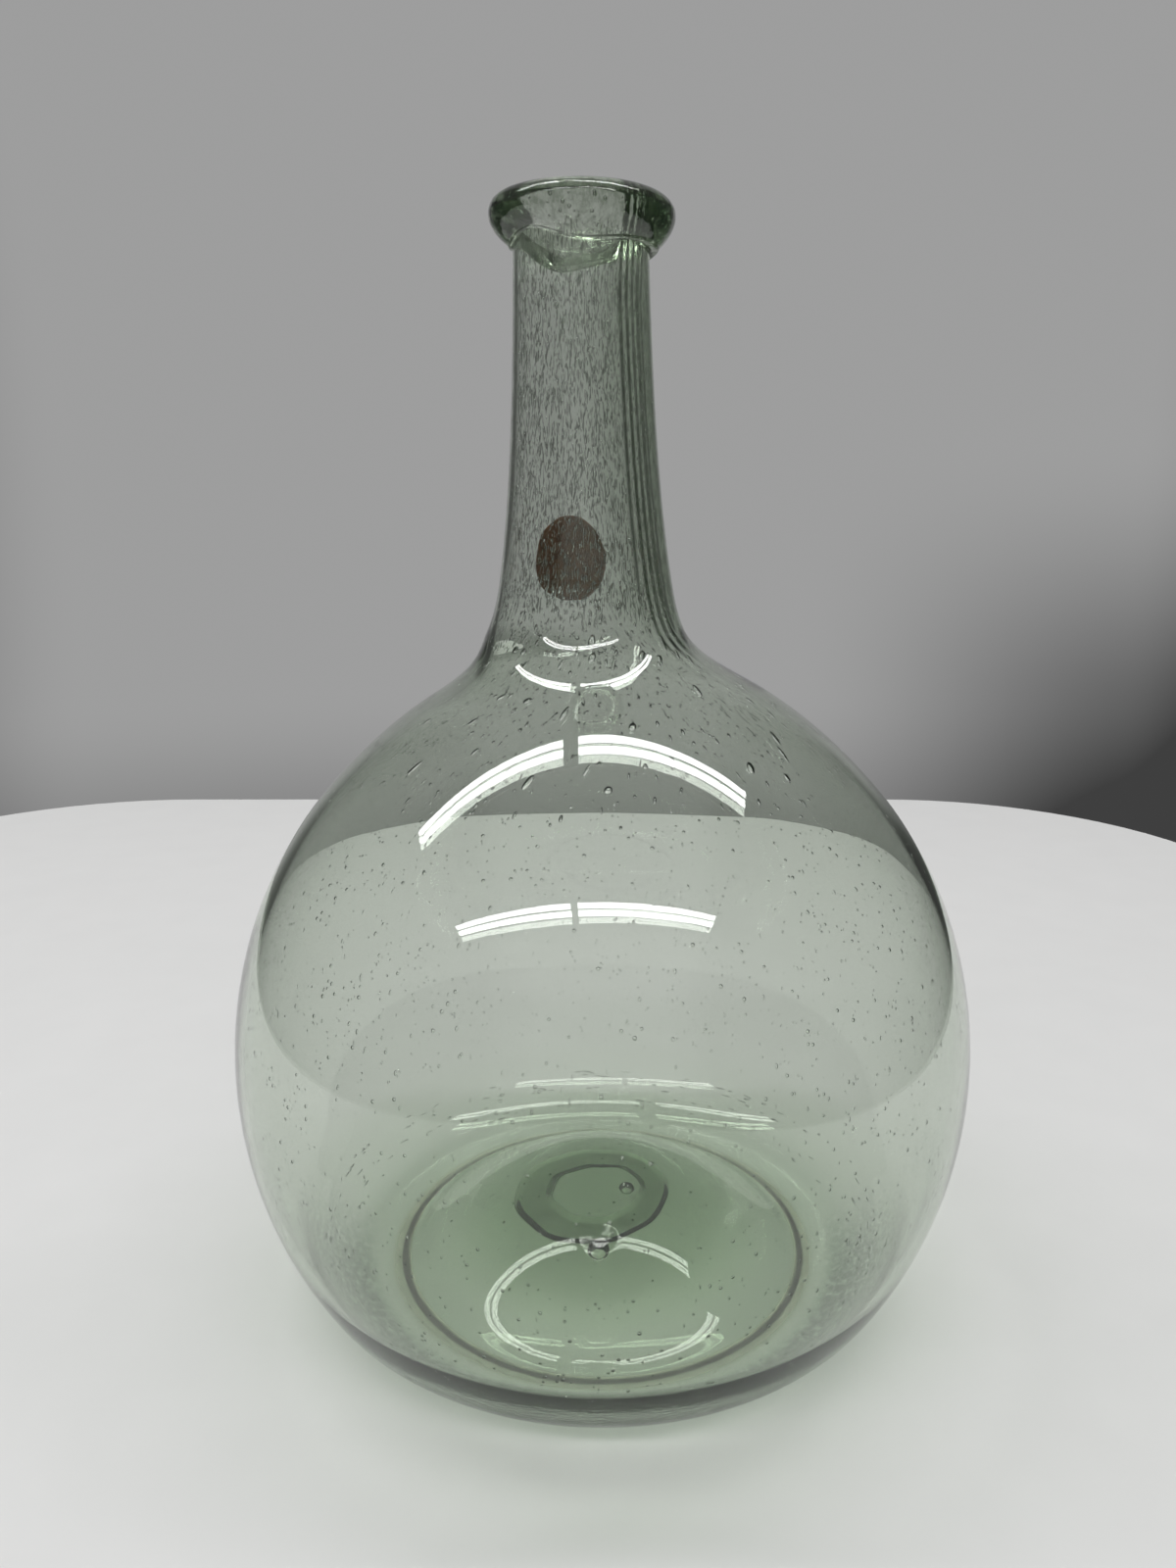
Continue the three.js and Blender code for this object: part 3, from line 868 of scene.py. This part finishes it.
def tube_lamps():
    for rows, tubes in ((NEAR_ROWS, NEAR_TUBES), (FAR_ROWS, FAR_TUBES)):
        for y in rows:
            for start, end in tubes:
                lamp = bpy.data.lights.new("tube_lamp", "AREA")
                lamp.shape = "RECTANGLE"
                lamp.size, lamp.size_y = end - start, TUBE_WIDTH
                lamp.energy = TUBE_BRIGHTNESS * math.pi * (end - start) * TUBE_WIDTH
                holder = bpy.data.objects.new("tube_lamp", lamp)
                holder.location = ((start + end) / 2, y, LAMP_HEIGHT)
                holder.visible_camera = False
                bpy.context.scene.collection.objects.link(holder)


def room_light():
    """White light on the object, and a grey backdrop for what is seen directly, in gloss or
    through glass."""
    world = bpy.data.worlds.new("room")
    bpy.context.scene.world = world
    paint = Paint(world)
    where = paint.add("ShaderNodeTexCoord", output="Generated")
    across, high = (paint.add("ShaderNodeSeparateXYZ", {}, {"Vector": where}, output=out) for out in "XZ")
    far_right = across.between(0.4, 0.56)
    far_left = (0 - across).between(0.4, 0.6)
    # Painted shade on the backdrop, low at the right and just above the table's far edge
    shade_low_right = across.between(0.15, 0.45) * (1 - high.between(-0.2, 0.05))
    below = 1 - high.between(-0.3, -0.15)
    tone = BACKDROP_TONE - far_right * FAR_RIGHT_DARKER - far_left * FAR_LEFT_DARKER
    tone = tone - shade_low_right * PAINTED_SHADE_LOW_RIGHT - below * PAINTED_SHADE_BELOW
    tone = tone.or_more(DARKEST_TONE)
    backdrop = paint.add("ShaderNodeCombineColor", {}, {"Red": tone, "Green": tone, "Blue": tone})
    camera, glossy, transmission, diffuse_depth = (
        paint.add("ShaderNodeLightPath", output=out)
        for out in ("Is Camera Ray", "Is Glossy Ray", "Is Transmission Ray", "Diffuse Depth"))
    seen = camera.or_more(glossy).or_more(transmission) * (diffuse_depth < 0.5)
    room = (ROOM_BRIGHTNESS, ROOM_BRIGHTNESS, ROOM_BRIGHTNESS, 1)
    colour = paint.mix_colour(seen, room, backdrop)
    light = paint.add("ShaderNodeBackground", {}, {"Color": colour, "Strength": 1})
    outlet = paint.tree.nodes.new("ShaderNodeOutputWorld")
    paint.tree.links.new(light.socket, outlet.inputs["Surface"])


def table_top():
    def values(paint):
        cloth = paint.noise(40, 2)
        return {"Base Color": paint.mix_colour(cloth, (0.68, 0.68, 0.675, 1), (0.71, 0.71, 0.705, 1)),
                "Roughness": 0.9, "Specular IOR Level": 0.2}
    left, right = TABLE_SIDES
    corner_y = TABLE_BACK - TABLE_CORNER
    edge = np.concatenate([
        [[left, TABLE_FRONT], [right, TABLE_FRONT]],
        arc((right - TABLE_CORNER, corner_y), TABLE_CORNER, 0, 90, 16),
        arc((left + TABLE_CORNER, corner_y), TABLE_CORNER, 90, 180, 16),
    ])
    mesh = bpy.data.meshes.new("table_top")
    mesh.from_pydata([(x, y, 0) for x, y in edge], [], [range(len(edge))])
    mesh.materials.append(plain_surface("table_cloth", values))
    table = bpy.data.objects.new("table_top", mesh)
    bpy.context.scene.collection.objects.link(table)


photo_camera()
tube_lamps()
room_light()
table_top()

body_glass = glass("pale_green_glass", finish=worn_and_shaded_foot, shaded_base=True)
lip_glass = glass("lip_glass", finish=rippled, density=LIP_DENSITY)
scar_glass = glass("scar_glass", roughness=0.3, density=SCAR_DENSITY)
seed_air = glass("seed_air", bending=SEED_BENDING, density=0)
neck_air = glass("neck_air", density=0)

bottle_body(body_glass)
applied_lip(lip_glass)
pontil_scar(scar_glass)
neck_sticker(aged_paper())

draws = np.random.default_rng(11)
neck_seeds_top = mouth_height - NECK_SEEDS_BELOW_MOUTH
neck_bands = {
    "low_neck_seeds": (NECK_SEEDS_START, NECK_SEEDS_MIDDLE),
    "high_neck_seeds": (NECK_SEEDS_MIDDLE, neck_seeds_top),
}
for name, heights in neck_bands.items():
    wall_seeds(name, draws, 4500, heights, width=(0.00014, 0.00034), length=(0.0005, 0.0034),
               air=neck_air, slant=0.05, sides=5, rings=3)
wall_seeds("shoulder_seeds", draws, 1500, heights=(0.144, 0.19), width=(0.0003, 0.0008),
           length=(0.0005, 0.0022), air=neck_air, slant=0.15, sides=8, rings=5, flatness=0.7)
wall_seeds("shoulder_bubbles", draws, 90, heights=(0.148, 0.178), width=(0.0008, 0.0018),
           length=(0.0016, 0.005), air=neck_air, slant=0.3, sides=16, rings=10, flatness=0.4)
globe_bands = {"low_globe_seeds": GLOBE_SEED_BANDS[:2], "high_globe_seeds": GLOBE_SEED_BANDS[1:]}
for name, heights in globe_bands.items():
    wall_seeds(name, draws, 1400, heights, width=(0.00026, 0.0009), length=(0.0003, 0.0012),
               air=seed_air, sides=10, rings=6, flatness=0.45)
wall_seeds("heel_seeds", draws, 220, heights=(0.004, 0.014), width=(0.0003, 0.0007),
           length=(0.0012, 0.004), air=seed_air, slant=math.pi / 2)
base_seeds(draws, seed_air)
lip_seeds(draws, seed_air)

bpy.context.scene.cycles.max_bounces = 32
bpy.context.scene.cycles.transmission_bounces = 28
bpy.context.scene.cycles.glossy_bounces = 8
bpy.context.scene.cycles.transparent_max_bounces = 24
bpy.context.scene.view_settings.view_transform = "Standard"
